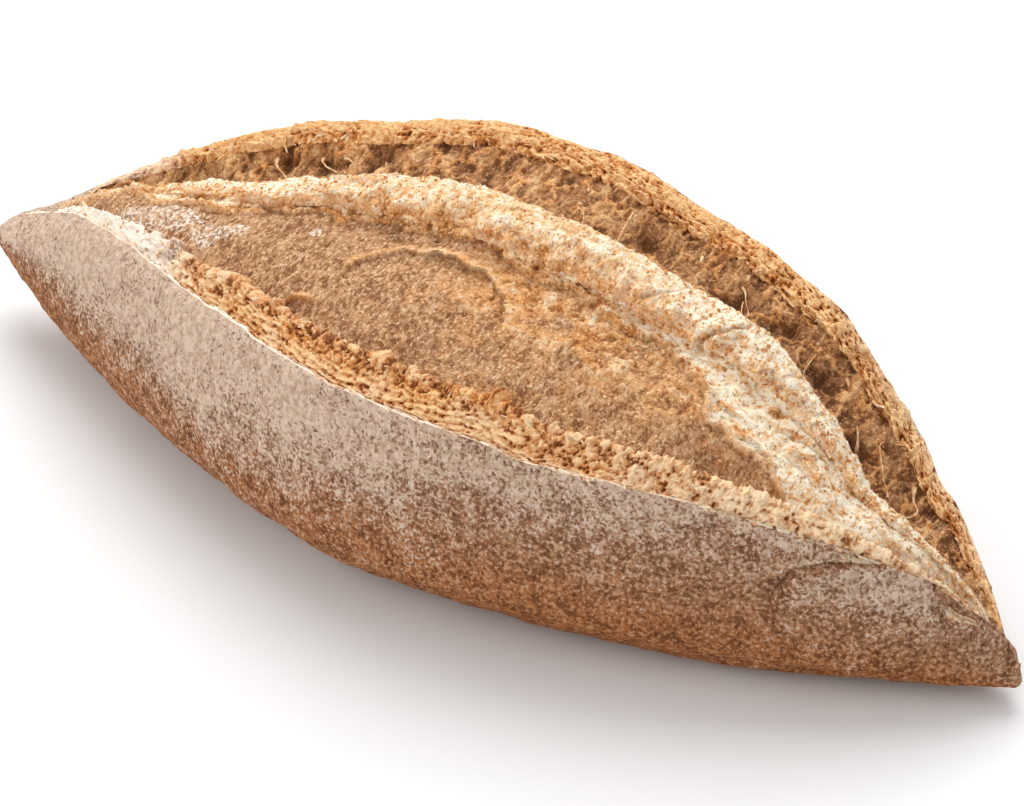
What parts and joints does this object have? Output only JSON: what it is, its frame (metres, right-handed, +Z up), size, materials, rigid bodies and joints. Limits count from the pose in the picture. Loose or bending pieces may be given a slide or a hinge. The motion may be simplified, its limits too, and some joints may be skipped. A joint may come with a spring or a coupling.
{
  "type": "whole wheat bread loaf",
  "caption": "Pointed spindle loaf of whole wheat bread with one long burst cut, a raised crumb ridge and ragged torn crust edges.",
  "frame": {"origin": "middle of the bounding box on the surface the loaf rests on", "axes": "+X along the loaf towards its lower, blunter-shouldered tip; +Y across it, towards the side the cut leans to; +Z up"},
  "size_m": [0.3, 0.1205, 0.0819],
  "materials": {
    "baked_crust": "matt, floury baked crust"
  },
  "bodies": {
    "root": {"loaf": "baked_crust"}
  },
  "joints": []
}
